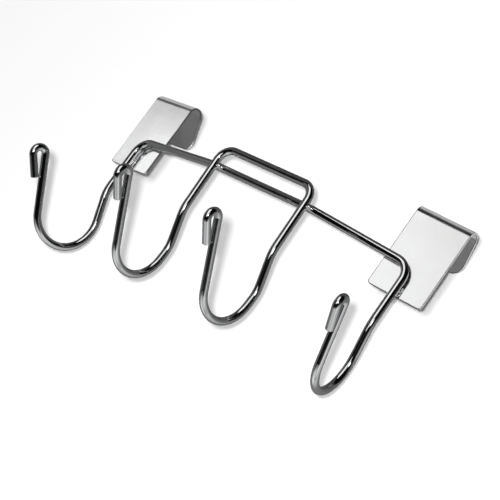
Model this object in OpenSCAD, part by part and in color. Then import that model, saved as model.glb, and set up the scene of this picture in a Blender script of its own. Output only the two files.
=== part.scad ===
// Over-the-edge wall hook rack: four wire hooks on two clips.
// Millimetres. +X runs along the crossbar, the hooks reach out along -Y, +Z is up.
// The origin is the hanging point: on the mirror plane, in line with the backs of the
// clip plates, level with the inside of the two clip folds, where the rack rests on an edge.

/* [Wire] */
// Diameter of the round wire
wire_d = 5; // [4:0.5:6]
// Chamfer on the cut ends of the wire
end_chamfer = 0.5; // [0:0.1:1]
// Depth each weld presses one wire into its neighbour
weld_sink = 0.4; // [0.2:0.1:0.8]

/* [Crossbar] */
// Distance from the middle of the crossbar to each crossing with the inner wire
cross_x = 39; // [30:0.5:50]
// Distance from the middle of the crossbar to the point where each end sweeps back
sweep_x = 43; // [41:0.5:60]
// Length of each end run, from there to the corner
end_run = 74.5; // [55:0.5:100]
// How far each end run sweeps back, in degrees
sweep = 8; // [0:0.5:12]
// How far each end run droops, in degrees
droop = 2; // [0:0.5:4]
// Bend radius where the crossbar starts to sweep back
sweep_r = 14; // [8:1:30]
// Bend radius of the two outer corners
outer_corner_r = 10; // [8:0.5:14]

/* [Inner loop] */
// Height of the inner top bar above the crossbar
top_rise = 11.5; // [8:0.5:20]
// Bend radius of the two inner corners
inner_corner_r = 9; // [6:0.5:9]
// Forward lean of the inner wire, in degrees
inner_lean = 2; // [0:0.5:5]

/* [Hooks] */
// Straight leg below the crossbar on the outer hooks
leg_outer = 40.5; // [30:0.5:50]
// Straight leg below the crossbar on the inner hooks
leg_inner = 34.5; // [25:0.5:45]
// How far the slanted part of the leg runs back
slant_back = 9; // [4:0.5:14]
// How far the slanted part of the leg drops
slant_drop = 23.5; // [15:0.5:30]
// Bend radius of the two kinks in the leg
kink_r = 23; // [10:1:30]
// Forward run of the lower leg to the point where the bowl's tangents meet
bowl_fwd = 6; // [2:0.5:12]
// Drop of the lower leg to the same point
bowl_drop = 68; // [50:0.5:80]
// Bend radius of the bowl
bowl_r = 21; // [16:0.5:21]
// Forward run of the front arm on the inner hooks
front_inner = 60; // [45:0.5:70]
// Forward run of the front arm on the outer hooks
front_outer = 55; // [45:0.5:70]
// Rise of the front arm
front_rise = 87.5; // [70:0.5:100]
// Radius of the curled tip
curl_r = 4.2; // [4:0.1:7]
// Straight length after the curl
curl_leg = 14.5; // [8:0.5:20]
// How far past 180 degrees the tip is closed
curl_close = 12; // [0:1:18]
// How far the outer hooks flare away from their clip's centre line, in degrees
flare = 8; // [0:1:12]

/* [Clips] */
// Width of each clip
clip_w = 38; // [30:0.5:50]
// Sheet thickness of the clips
clip_t = 1.2; // [0.8:0.1:2]
// Flat height of the plate above the crossbar
plate_up = 31; // [25:0.5:40]
// Height of the plate below the crossbar
plate_down = 19.5; // [15:0.5:30]
// Outside radius of the fold
fold_r = 5.4; // [3:0.1:8]
// Angle between the rear tongue and the plate
tongue_angle = 28; // [10:1:40]
// Length of the flat tongue after the fold
tongue_len = 23; // [15:0.5:35]
// Corner radius at the bottom of the plate
plate_corner_r = 2.2; // [0.5:0.1:5]
// Corner radius at the end of the tongue
tongue_corner_r = 8; // [3:0.5:15]
// How much narrower the tongue is at its end, on each side
tongue_taper = 2; // [0:0.5:5]

/* [Welds] */
// Radius of the weld flash at a wire crossing
flash_r = 2.3; // [2:0.1:2.4]
// Radius of the weld beads beside a clip leg
bead_r = 0.95; // [0.6:0.05:1.4]
// Length of the weld beads
bead_len = 6.5; // [4:0.5:8]
// Distance of the beads from the plate's bottom edge
bead_inset = 0.8; // [0.5:0.1:3]

/* [Hidden] */
$fn = 96;

chrome = [0.80, 0.81, 0.83];
bright_sheet = [0.88, 0.88, 0.87];
weld_grey = [0.62, 0.62, 0.63];

wire_r = wire_d / 2;
// straight runs are a hair slimmer than the bends and reach a little into them, so that
// the two never share a surface
run_r = wire_r - 0.01;
lap = 0.15;
// the runs' own seams are turned away from the bends' seams
seam = 37;
// the wire axis stands this far in front of a clip plate's face
clip_gap = wire_r - weld_sink / 2;
// the inner wire crosses this far in front of the crossbar
cross_gap = wire_d - weld_sink;

// corner of the outer wire on the +X side, measured from the middle of the crossbar
corner = [sweep_x + end_run * cos(droop) * cos(sweep),
          end_run * cos(droop) * sin(sweep),
          -end_run * sin(droop)];
// directions of the clip on the +X side: outward along the plate, and forward
clip_side = [cos(sweep), sin(sweep), 0];
clip_front = [sin(sweep), -cos(sweep), 0];
// forward direction of the outer hook on the +X side
hook_front = [sin(sweep + flare), -cos(sweep + flare), 0];

// the hanging point, measured from the middle of the crossbar
hang_y = corner[1] + (clip_gap + clip_t) * cos(sweep);
hang_z = corner[2] + plate_up + fold_r - clip_t;

function unit(v) = v / norm(v);
function flip(v) = [-v[0], v[1], v[2]];
function reversed(v) = [for (i = [len(v) - 1:-1:0]) v[i]];

// hook profile as [forward, up] vertices, from the upper kink to the start of the curled tip
function arm(front) = unit([front, front_rise]);
function hook_profile(leg, front) =
    let (k1 = [0, -leg],
         k2 = [-slant_back, -leg - slant_drop],
         bowl = k2 + [bowl_fwd, -bowl_drop],
         top = bowl + [front, front_rise])
    [k1, k2, bowl, top - arm(front) * curl_r];
hook_radii = [kink_r, kink_r, bowl_r];

// the profile set up in space: base point, forward direction and up direction
function placed(profile, base, fwd, up) = [for (p = profile) base + fwd * p[0] + up * p[1]];

outer_hook = placed(hook_profile(leg_outer, front_outer), corner, hook_front, [0, 0, 1]);
outer_path = concat(
    reversed([for (p = outer_hook) flip(p)]), [flip(corner), [-sweep_x, 0, 0],
    [sweep_x, 0, 0], corner], outer_hook);
outer_radii = concat(reversed(hook_radii), [outer_corner_r, sweep_r, sweep_r, outer_corner_r], hook_radii);

inner_fwd = [0, -cos(inner_lean), -sin(inner_lean)];
inner_up = [0, -sin(inner_lean), cos(inner_lean)];
inner_base = [cross_x, -cross_gap, 0];
inner_hook = placed(hook_profile(leg_inner, front_inner), inner_base, inner_fwd, inner_up);
inner_corner = inner_base + inner_up * top_rise;
inner_path = concat(
    reversed([for (p = inner_hook) flip(p)]), [flip(inner_corner), inner_corner], inner_hook);
inner_radii = concat(reversed(hook_radii), [inner_corner_r, inner_corner_r], hook_radii);

// turn angle at vertex i of a path
function turn_at(p, i) =
    acos(max(-1, min(1, unit(p[i] - p[i - 1]) * unit(p[i + 1] - p[i]))));
// distance from vertex i to the ends of its bend
function cut_at(p, r, i) =
    (i == 0 || i == len(p) - 1) ? 0 : r[i - 1] * tan(turn_at(p, i) / 2);

// puts the child's x, y and z axes along three given directions
module aim(x, y, z, at) {
    multmatrix([[x[0], y[0], z[0], at[0]],
                [x[1], y[1], z[1], at[1]],
                [x[2], y[2], z[2], at[2]],
                [0, 0, 0, 1]]) children();
}

// a straight round run from a to b, with the far end chamfered if asked
module run(a, b, chamfer = 0) {
    v = b - a;
    l = norm(v);
    z = v / l;
    x = unit(cross(abs(z[2]) < 0.9 ? [0, 0, 1] : [1, 0, 0], z));
    aim(x, cross(z, x), z, a) rotate([0, 0, seam]) {
        cylinder(h = l - chamfer, r = run_r);
        if (chamfer > 0)
            translate([0, 0, l - chamfer]) cylinder(h = chamfer, r1 = run_r, r2 = run_r - chamfer);
    }
}

// a round bend that starts at a point, running along one direction and turning towards another
module bend(start, along, towards, r, angle) {
    aim(-towards, along, cross(along, towards), start + towards * r)
        rotate_extrude(angle = angle) translate([r, 0]) circle(r = wire_r);
}

// one round wire bent along a path: straight runs joined by true arcs
module bent_wire(p, r) {
    n = len(p);
    for (i = [0:n - 2]) {
        u = unit(p[i + 1] - p[i]);
        run(p[i] + u * (cut_at(p, r, i) - lap), p[i + 1] - u * (cut_at(p, r, i + 1) - lap));
    }
    for (i = [1:n - 2]) {
        into = unit(p[i] - p[i - 1]);
        z = unit(cross(into, unit(p[i + 1] - p[i])));
        bend(p[i] - into * cut_at(p, r, i), into, cross(z, into), r[i - 1], turn_at(p, i));
    }
}

// the curled tip at the end of a path: the wire turns forward and down, then runs on to its cut end
module curl(p) {
    n = len(p);
    d = unit(p[n - 1] - p[n - 2]);
    z = unit(cross(p[n - 2] - p[n - 3], d));
    f = cross(z, d) * -1;
    a = 180 + curl_close;
    e = f * sin(a) + d * cos(a);
    bend(p[n - 1], d, f, curl_r, a);
    s = p[n - 1] + f * curl_r + (d * sin(a) - f * cos(a)) * curl_r;
    run(s - e * lap, s + e * curl_leg, end_chamfer);
}

module whole_wire(p, r) {
    bent_wire(p, r);
    curl(p);
    curl(reversed(p));
}

// moves a part from the crossbar's frame to the hanging point's frame
module hung() {
    translate([0, -hang_y, -hang_z]) children();
}

// clip frame: x along the plate, y back from the plate's front face, z up from the bar
module on_clip(right) {
    s = right ? 1 : -1;
    side = right ? clip_side : [clip_side[0], -clip_side[1], 0];
    front = right ? clip_front : flip(clip_front);
    c = right ? corner : flip(corner);
    aim(side, -front, [0, 0, 1], c - front * clip_gap) children();
}

// rectangle, x from -w/2 to w/2 and y from 0 to h, with round corners at y = 0
module round_foot(w, h, r) {
    difference() {
        translate([-w / 2, 0]) square([w, h]);
        for (s = [-1, 1])
            difference() {
                translate([s * (w / 2 - r / 2 + 0.5), r / 2 - 0.5]) square([r + 1, r + 1], center = true);
                translate([s * (w / 2 - r), r]) circle(r = r);
            }
    }
}

// the tongue laid flat: straight sides next to the fold, narrower below, with
// round corners at y = 0
module tongue_outline(w, h, r) {
    straight = tongue_len - 1.5;
    lean = atan(tongue_taper / straight);
    foot = w / 2 - tongue_taper;
    middle = foot - r * (1 - sin(lean)) / cos(lean);
    difference() {
        polygon([[-foot, 0], [foot, 0], [w / 2, straight], [w / 2, h], [-w / 2, h], [-w / 2, straight]]);
        for (s = [-1, 1])
            difference() {
                polygon([[s * middle, r], [s * (middle + (r + 1) * cos(lean)), r - (r + 1) * sin(lean)],
                         [s * (w / 2 + 1), -1], [s * middle, -1]]);
                translate([s * middle, r]) circle(r = r);
            }
    }
}

// sheet clip: front plate, round fold at the top, rear tongue that opens downward
module clip_shape() {
    // front plate
    translate([0, clip_t, -plate_down]) rotate([90, 0, 0])
        linear_extrude(clip_t) round_foot(clip_w, plate_down + plate_up, plate_corner_r);
    // fold
    aim([0, -1, 0], [0, 0, 1], [-1, 0, 0], [clip_w / 2, fold_r, plate_up])
        rotate_extrude(angle = 180 - tongue_angle)
            translate([fold_r - clip_t, 0]) square([clip_t, clip_w]);
    // tongue, a hair thinner than the fold it reaches into
    translate([0, fold_r, plate_up]) rotate([tongue_angle, 0, 0])
        translate([0, fold_r - 0.01, -tongue_len]) rotate([90, 0, 0])
            linear_extrude(clip_t - 0.02) tongue_outline(clip_w - 0.02, tongue_len + lap, tongue_corner_r);
}

module outer_wire() {
    color(chrome) hung() difference() {
        whole_wire(outer_path, outer_radii);
        // flats where the wire is pressed onto the clip plates
        for (right = [false, true]) on_clip(right)
            translate([-clip_w / 2, 0, -plate_down]) cube([clip_w, clip_t, plate_down + plate_up]);
    }
}

// the straight middle of the crossbar, between the two sweeps
module bar_middle() { run([-sweep_x + 2, 0, 0], [sweep_x - 2, 0, 0]); }

module inner_wire() {
    color(chrome) hung() difference() {
        whole_wire(inner_path, inner_radii);
        // seats where the wire is pressed onto the crossbar
        bar_middle();
    }
}

module left_clip() { color(bright_sheet) hung() on_clip(false) clip_shape(); }
module right_clip() { color(bright_sheet) hung() on_clip(true) clip_shape(); }

// flash squeezed out around a wire crossing
module crossing_weld(right) {
    base = right ? inner_base : flip(inner_base);
    color(weld_grey) hung() difference() {
        translate([base[0], -cross_gap / 2, 0]) sphere(r = flash_r);
        bar_middle();
        run(base - inner_up * 10, base + inner_up * 10);
    }
}
module left_crossing_weld() { crossing_weld(false); }
module right_crossing_weld() { crossing_weld(true); }

// weld beads laid along both sides of the leg, low on the plate
module clip_weld(right) {
    color(weld_grey) hung() on_clip(right) difference() {
        for (s = [-1, 1]) translate([s * wire_r * 0.7, -0.3, -plate_down + bead_inset]) {
            cylinder(h = bead_r / 2, r1 = bead_r / 2, r2 = bead_r);
            translate([0, 0, bead_r / 2]) cylinder(h = bead_len - bead_r, r = bead_r);
            translate([0, 0, bead_len - bead_r / 2]) cylinder(h = bead_r / 2, r1 = bead_r, r2 = bead_r / 2);
        }
        translate([0, -clip_gap, -plate_down - 5]) rotate([0, 0, seam]) cylinder(h = plate_down, r = run_r);
        translate([-clip_w / 2, 0, -plate_down - 5]) cube([clip_w, 5, plate_down + 5]);
    }
}
module left_clip_weld() { clip_weld(false); }
module right_clip_weld() { clip_weld(true); }

outer_wire();
inner_wire();
left_clip();
right_clip();
left_crossing_weld();
right_crossing_weld();
left_clip_weld();
right_clip_weld();
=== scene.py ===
import math

import bmesh
import bpy
from mathutils import Matrix, Vector, noise


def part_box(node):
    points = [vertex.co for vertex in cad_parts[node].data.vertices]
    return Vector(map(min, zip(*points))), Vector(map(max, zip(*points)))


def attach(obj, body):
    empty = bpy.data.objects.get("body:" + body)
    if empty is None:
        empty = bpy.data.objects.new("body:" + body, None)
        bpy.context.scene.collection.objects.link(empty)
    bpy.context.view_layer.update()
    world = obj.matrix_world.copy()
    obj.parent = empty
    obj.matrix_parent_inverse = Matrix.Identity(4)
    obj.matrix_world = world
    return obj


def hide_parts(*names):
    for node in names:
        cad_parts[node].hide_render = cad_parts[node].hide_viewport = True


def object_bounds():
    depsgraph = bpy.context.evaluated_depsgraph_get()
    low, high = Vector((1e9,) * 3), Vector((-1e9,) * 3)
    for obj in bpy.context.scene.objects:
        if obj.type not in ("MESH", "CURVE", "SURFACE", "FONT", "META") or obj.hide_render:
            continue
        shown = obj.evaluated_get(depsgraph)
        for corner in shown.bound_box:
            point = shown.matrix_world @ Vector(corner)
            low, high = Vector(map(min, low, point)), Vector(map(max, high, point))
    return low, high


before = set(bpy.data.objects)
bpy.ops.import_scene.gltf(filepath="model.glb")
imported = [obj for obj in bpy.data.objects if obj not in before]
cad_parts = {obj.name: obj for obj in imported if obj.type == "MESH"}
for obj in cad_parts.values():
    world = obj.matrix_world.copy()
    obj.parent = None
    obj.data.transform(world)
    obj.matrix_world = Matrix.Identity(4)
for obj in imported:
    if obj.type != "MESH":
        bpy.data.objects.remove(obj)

cad_lo, cad_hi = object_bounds()
scene = bpy.context.scene
scene.view_settings.view_transform = "Standard"
scene.view_settings.look = "None"
scene.view_settings.exposure = 0.0
scene.view_settings.gamma = 1.0

# ---------------------------------------------------------------- camera
AZ, EL, ROLL = math.radians(41.43), math.radians(-10.425), math.radians(35.493)
TARGET = Vector((0.021148, -0.013828, -0.070720))
DISTANCE = 1.060427
LENS = 130.4

back = Vector((math.sin(AZ) * math.cos(EL), -math.cos(AZ) * math.cos(EL), math.sin(EL)))
level = (-back).cross(Vector((0, 0, 1))).normalized()
upright = level.cross(-back).normalized()
cam_x = math.cos(ROLL) * level + math.sin(ROLL) * upright
cam_y = -math.sin(ROLL) * level + math.cos(ROLL) * upright

cam_data = bpy.data.cameras.new("camera")
cam_data.lens = LENS
cam_data.sensor_width = 36.0
cam_data.clip_start, cam_data.clip_end = 0.05, 20.0
camera = bpy.data.objects.new("camera", cam_data)
scene.collection.objects.link(camera)
camera.matrix_world = Matrix.Translation(TARGET + back * DISTANCE) @ Matrix(
    (cam_x, cam_y, back)
).transposed().to_4x4()
scene.camera = camera


# ---------------------------------------------------------------- node helpers
class Tree:
    """Short calls for building a node tree."""

    def __init__(self, owner):
        owner.use_nodes = True
        self.t = owner.node_tree
        self.t.nodes.clear()

    def add(self, kind, inputs=None, **props):
        n = self.t.nodes.new(kind)
        for k, v in props.items():
            setattr(n, k, v)
        for k, v in (inputs or {}).items():
            self.set(n.inputs[k], v)
        return n

    def set(self, socket, v):
        if isinstance(v, bpy.types.NodeSocket):
            self.t.links.new(v, socket)
        elif isinstance(v, bpy.types.Node):
            self.t.links.new(v.outputs[0], socket)
        else:
            socket.default_value = v

    def math(self, op, a, b=0.0, c=0.0, clamp=False):
        n = self.add("ShaderNodeMath", operation=op, use_clamp=clamp)
        for s, v in zip(n.inputs, (a, b, c)):
            self.set(s, v)
        return n.outputs[0]

    def dot(self, v, w):
        n = self.add("ShaderNodeVectorMath", {0: v, 1: w}, operation="DOT_PRODUCT")
        return n.outputs["Value"]

    def smooth(self, v, a, b, lo=0.0, hi=1.0):
        n = self.add(
            "ShaderNodeMapRange",
            {"Value": v, "From Min": a, "From Max": b, "To Min": lo, "To Max": hi},
            interpolation_type="SMOOTHSTEP",
        )
        return n.outputs[0]

    def noise(self, at, scale, detail=2.0, rough=0.5):
        n = self.add(
            "ShaderNodeTexNoise", {"Vector": at, "Scale": scale, "Detail": detail, "Roughness": rough}
        )
        return n.outputs[0]

    def ramp(self, v, stops):
        n = self.add("ShaderNodeValToRGB", {0: v})
        e = n.color_ramp.elements
        while len(e) < len(stops):
            e.new(0.5)
        for el, (p, c) in zip(e, stops):
            el.position, el.color = p, (*c, 1.0)
        return n.outputs[0]

    def bump(self, height, strength, distance, normal=None):
        n = self.add("ShaderNodeBump", {"Height": height, "Strength": strength, "Distance": distance})
        if normal is not None:
            self.set(n.inputs["Normal"], normal)
        return n.outputs[0]


def surface(name):
    m = bpy.data.materials.new(name)
    t = Tree(m)
    out = t.add("ShaderNodeOutputMaterial")
    b = t.add("ShaderNodeBsdfPrincipled", {"Metallic": 1.0})
    t.set(out.inputs[0], b)
    at = t.add("ShaderNodeTexCoord").outputs["Object"]
    return m, t, b, at


# ---------------------------------------------------------------- materials
def chrome_wire():
    """Bright plate on drawn and bent wire: a mirror with a faint ripple and a little haze."""
    m, t, b, at = surface("chrome_wire")
    patch = t.noise(at, 55.0, 3.0)
    fine = t.noise(at, 900.0, 3.0, 0.6)
    t.set(b.inputs["Base Color"], t.ramp(patch, [(0.3, (0.75, 0.755, 0.765)), (0.7, (0.84, 0.845, 0.855))]))
    t.set(b.inputs["Roughness"], t.math("ADD", t.smooth(patch, 0.35, 0.7, 0.01, 0.03), t.smooth(fine, 0.55, 0.8, 0.0, 0.02)))
    wave = t.noise(at, 140.0, 2.0)
    n = t.bump(wave, 0.2, 0.0004)
    t.set(b.inputs["Normal"], t.bump(fine, 0.04, 0.00004, n))
    return m


def bright_sheet():
    """Bright plate on folded steel sheet: softer than the wire, with a faint cloudiness and painted shade darkening
    its rounded edges.
    """
    m, t, b, at = surface("bright_sheet")
    cloud = t.noise(at, 45.0, 4.0)
    fine = t.noise(at, 1500.0, 3.0, 0.6)
    # Painted shade: the base colour is darkened along the rounded edges to stand in for their dark reflection, less
    # on the side faces and on the clip at negative x.
    rounded = t.add("ShaderNodeBevel", {"Radius": 0.001}, samples=8).outputs[0]
    normal = t.add("ShaderNodeNewGeometry").outputs["Normal"]
    painted_edge_shade = t.smooth(t.dot(rounded, normal), 0.999, 0.95)
    painted_edge_shade = t.math("MULTIPLY", painted_edge_shade, t.smooth(t.math("ABSOLUTE", t.dot(normal, (1.0, 0.0, 0.0))), 0.9, 0.5, 0.4, 1.0))
    painted_edge_shade = t.math("MULTIPLY", painted_edge_shade, t.smooth(t.dot(at, (1.0, 0.0, 0.0)), -0.05, 0.05, 0.45, 1.0))
    cloud_and_painted_edge_shade = t.math("SUBTRACT", cloud, t.math("MULTIPLY", painted_edge_shade, 0.8))
    t.set(b.inputs["Base Color"], t.ramp(cloud_and_painted_edge_shade, [(0.0, (0.08, 0.08, 0.085)), (0.3, (0.86, 0.865, 0.87)), (0.7, (0.92, 0.92, 0.915))]))
    t.set(b.inputs["Roughness"], t.math("ADD", t.smooth(cloud, 0.3, 0.7, 0.16, 0.22), t.smooth(fine, 0.4, 0.8, 0.0, 0.05)))
    n = t.bump(cloud, 0.2, 0.0005)
    t.set(b.inputs["Normal"], t.bump(fine, 0.1, 0.00004, n))
    return m


def weld_metal():
    """Plated weld metal: lumpy, pitted and a little duller."""
    m, t, b, at = surface("weld_metal")
    lump = t.noise(at, 600.0, 3.0)
    pit = t.noise(at, 2400.0, 3.0, 0.65)
    t.set(b.inputs["Base Color"], t.ramp(lump, [(0.3, (0.72, 0.72, 0.73)), (0.7, (0.92, 0.92, 0.92))]))
    t.set(b.inputs["Roughness"], t.smooth(pit, 0.3, 0.75, 0.08, 0.24))
    n = t.bump(lump, 0.4, 0.0002)
    t.set(b.inputs["Normal"], t.bump(pit, 0.2, 0.00006, n))
    return m


wire_m, sheet_m, weld_m = chrome_wire(), bright_sheet(), weld_metal()
for name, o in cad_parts.items():
    o.data.materials.clear()
    o.data.materials.append(weld_m if "weld" in name else wire_m if "wire" in name else sheet_m)


# ---------------------------------------------------------------- weld metal
def nugget(node, blobs, swell, seed):
    """The CAD weld with lumps of squeezed-out metal added, run together and roughened."""
    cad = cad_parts[node]
    bm = bmesh.new()
    bm.from_mesh(cad.data)
    for centre, size in blobs:
        bmesh.ops.create_icosphere(
            bm, subdivisions=3, radius=1.0, matrix=Matrix.Translation(centre) @ Matrix.Diagonal((*size, 1.0))
        )
    raw = bpy.data.meshes.new(node + "_raw")
    bm.to_mesh(raw)
    bm.free()
    tmp = bpy.data.objects.new(node + "_raw", raw)
    scene.collection.objects.link(tmp)
    tmp.modifiers.new("run_together", "REMESH").voxel_size = 0.00014
    smooth = tmp.modifiers.new("melt", "SMOOTH")
    smooth.factor, smooth.iterations = 0.5, 4
    bpy.context.view_layer.update()
    mesh = bpy.data.meshes.new_from_object(tmp.evaluated_get(bpy.context.evaluated_depsgraph_get()))
    bpy.data.objects.remove(tmp)
    mesh.name = node + "_nugget"
    shift = Vector((seed * 0.37, seed * 0.11, seed * 0.73))
    for v in mesh.vertices:
        lump = noise.noise(v.co * 900 + shift) + 0.4 * noise.noise(v.co * 2300 + shift)
        v.co += v.normal * (swell * (0.5 + 0.9 * lump))
    for f in mesh.polygons:
        f.use_smooth = True
    mesh.update()
    o = bpy.data.objects.new(node + "_nugget", mesh)
    scene.collection.objects.link(o)
    mesh.materials.clear()
    mesh.materials.append(weld_m)
    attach(o, "root")
    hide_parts(node)
    return o


mm = 0.001
nuggets = []
for seed, side in ((3, "left"), (8, "right")):
    a, b = (Vector(c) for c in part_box(side + "_crossing_weld"))
    c = (a + b) / 2
    drops = [
        (c + Vector((s * dx, dy, dz)) * mm, tuple(r * mm for r in size))
        for s in (-1, 1)
        for dx, dy, dz, size in (
            (2.2, -0.3, 0.1, (0.85, 0.85, 0.85)),
            (3.3, -0.2, -0.2, (0.8, 0.55, 0.5)),
            (4.5, -0.3, -0.4, (0.75, 0.75, 0.7)),
        )
    ]
    nuggets.append(nugget(side + "_crossing_weld", drops, 0.0001, seed))
    a, b = (Vector(c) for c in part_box(side + "_clip_weld"))
    drops = [(Vector((x, b.y, a.z)) + Vector((0, -0.6, 0.4)) * mm, (0.6 * mm,) * 3) for x in (a.x + 0.8 * mm, b.x - 0.8 * mm)]
    nuggets.append(nugget(side + "_clip_weld", drops, 0.0003, seed + 20))


# ---------------------------------------------------------------- world: a dim studio with a grey bench
def seen(angle, round_):
    """World direction that lies angle degrees off the lens axis, round_ degrees anticlockwise from the picture's right."""
    a, r = math.radians(angle), math.radians(round_)
    return (math.sin(a) * math.cos(r) * cam_x + math.sin(a) * math.sin(r) * cam_y + math.cos(a) * back).normalized()


def studio():
    world = bpy.data.worlds.new("studio")
    scene.world = world
    t = Tree(world)
    out = t.add("ShaderNodeOutputWorld")
    d = t.add("ShaderNodeTexCoord").outputs["Generated"]
    x, y, z = t.dot(d, cam_x), t.dot(d, cam_y), t.dot(d, back)
    room = t.math("MULTIPLY", t.smooth(z, 0.085, 0.055), t.smooth(y, 1.0, -1.0, 0.3, 1.0))
    room = t.math("MULTIPLY", room, 0.21)
    bench = t.math("MULTIPLY", t.smooth(y, -0.1, -0.72), t.smooth(x, -0.55, 0.6))
    bench = t.math("MULTIPLY", t.math("MULTIPLY", bench, t.smooth(z, -0.35, 0.6)), t.smooth(z, 0.92, 0.6, 0.0, 0.34))
    glow = t.math("ADD", t.smooth(y, -0.45, -0.7, 0.0, 0.24), t.smooth(t.dot(d, seen(58, -80)), 0.88, 1.0, 0.0, 0.28))
    glow = t.math("MULTIPLY", glow, t.math("MULTIPLY", t.smooth(z, 0.74, 0.62), t.smooth(z, -0.5, -0.15)))
    panel = t.smooth(t.dot(d, seen(80, -130)), 0.8, 1.0, 0.0, 0.42)
    total = t.math("ADD", t.math("ADD", room, bench), t.math("ADD", panel, 0.003))
    haze = t.smooth(t.dot(d, seen(103, 141)), 0.9, 1.0, 0.0, 0.07)
    total = t.math("ADD", t.math("ADD", total, glow), haze)
    reflected = t.add("ShaderNodeBackground", {"Color": (1, 1, 1, 1), "Strength": total})
    plain = t.add("ShaderNodeBackground", {"Color": (1, 1, 1, 1), "Strength": 0.98})
    soft = t.add("ShaderNodeBackground", {"Color": (1, 1, 1, 1), "Strength": 0.16})
    path = t.add("ShaderNodeLightPath")
    lit = t.add("ShaderNodeMixShader", {0: path.outputs["Is Diffuse Ray"], 1: reflected, 2: soft})
    t.set(out.inputs[0], t.add("ShaderNodeMixShader", {0: path.outputs["Is Camera Ray"], 1: lit, 2: plain}))


def upright_on(round_):
    """World direction of a line across the picture, round_ degrees anticlockwise from its right."""
    r = math.radians(round_)
    return math.cos(r) * cam_x + math.sin(r) * cam_y


def group(name, pieces):
    c = bpy.data.collections.new(name)
    for piece in pieces:
        c.objects.link(piece)
    return c


def lamp(name, kind, direction, distance, long_side, shines_on):
    """A light facing the rack, with its long side along long_side."""
    data = bpy.data.lights.new(name, kind)
    o = bpy.data.objects.new(name, data)
    scene.collection.objects.link(o)
    zz = direction.normalized()
    xx = (long_side - long_side.dot(zz) * zz).normalized()
    o.matrix_world = Matrix.Translation(TARGET + zz * distance) @ Matrix((xx, zz.cross(xx), zz)).transposed().to_4x4()
    o.visible_camera = False
    o.light_linking.receiver_collection = group(name + "_on", shines_on)
    return o


def soft_box(name, direction, distance, long_side, width, height, radiance, shines_on):
    o = lamp(name, "AREA", direction, distance, long_side, shines_on)
    o.data.shape = "RECTANGLE"
    o.data.size, o.data.size_y = width, height
    o.data.energy = radiance * math.pi * width * height
    return o


studio()
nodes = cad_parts
rack = [o for name, o in nodes.items() if "weld" not in name] + nuggets
clips = [o for name, o in nodes.items() if name.endswith("clip")]
wires = [o for o in rack if o not in clips]
key = soft_box("key_light", seen(43, 111), 1.0, upright_on(86), 1.55, 0.7, 1.05, wires)
front = soft_box("front_light", seen(6, 60), 1.15, upright_on(0), 0.25, 0.25, 3.5, wires)
spark = soft_box("spark_light", seen(28, 95), 1.0, upright_on(0), 0.6, 0.6, 8.0, nuggets[::2])
glint = soft_box("glint_light", seen(28, 95), 1.0, upright_on(0), 0.2, 0.2, 7.0, nuggets[1::2])
side = soft_box("side_light", seen(80, 137), 1.0, upright_on(225) * 0.45 - back, 1.1, 0.62, 1.06, clips)
rear = soft_box("rear_light", seen(130, 88), 1.0, back, 1.2, 0.8, 0.42, clips)
rear.light_linking.blocker_collection = group("rack_rear", rack)
up = Vector((0, 0, 1))
fill = soft_box("fill_light", Vector((0.44, -0.9, 0)), 1.0, up, 1.2, 1.1, 0.8, clips)
behind = soft_box("behind_light", Vector((0, 1, 0)), 1.0, up, 1.0, 1.0, 0.75, clips)
above = soft_box("above_light", Vector((0, 0.56, 0.83)), 1.0, cam_x, 0.6, 0.6, 0.7, clips)


# ---------------------------------------------------------------- stage
def plane(name, corners):
    mesh = bpy.data.meshes.new(name)
    mesh.from_pydata([tuple(c) for c in corners], [], [(0, 1, 2, 3)])
    o = bpy.data.objects.new(name, mesh)
    scene.collection.objects.link(o)
    return o


def pale(name, one_sided):
    m = bpy.data.materials.new(name)
    t = Tree(m)
    out = t.add("ShaderNodeOutputMaterial")
    d = t.add("ShaderNodeBsdfDiffuse", {"Color": (0.93, 0.93, 0.935, 1)})
    if one_sided:
        g = t.add("ShaderNodeNewGeometry").outputs["Backfacing"]
        t.set(out.inputs[0], t.add("ShaderNodeMixShader", {0: g, 1: d, 2: t.add("ShaderNodeBsdfTransparent")}))
    else:
        t.set(out.inputs[0], d)
    return m


wall_y, floor_z = cad_hi.y + 0.0015, -0.6
wall = plane("wall", [(-3, wall_y, floor_z), (3, wall_y, floor_z), (3, wall_y, 3), (-3, wall_y, 3)])
wall.data.materials.append(pale("pale_wall", True))
floor = plane("floor", [(-4, -4, floor_z), (4, -4, floor_z), (4, 4, floor_z), (-4, 4, floor_z)])
floor.data.materials.append(pale("pale_floor", False))
for o in (wall, floor):
    o.visible_glossy = False
floor.visible_diffuse = False
for name, direction, radius, strength, casts in (
    ("wall_light", seen(3.8, 133), 0.03, 28.0, rack),
    ("clip_wall_light", seen(14, 135), 0.13, 21.0, clips),
):
    bulb = lamp(name, "POINT", direction, 1.1, upright_on(0), [wall, floor])
    bulb.light_linking.blocker_collection = group(name + "_casts", casts)
    bulb.data.shadow_soft_size = radius
    bulb.data.energy = 1.0
    t = Tree(bulb.data)
    even = t.add("ShaderNodeLightFalloff", {"Strength": strength}).outputs["Constant"]
    t.set(t.add("ShaderNodeOutputLight").inputs[0], t.add("ShaderNodeEmission", {"Strength": even}))

top = lamp("floor_light", "SUN", Vector((0, -0.1, 1)), 3.0, upright_on(0), [floor])
top.light_linking.blocker_collection = group("floor_light_casts", rack)
top.data.angle, top.data.energy = math.radians(8), 2.8
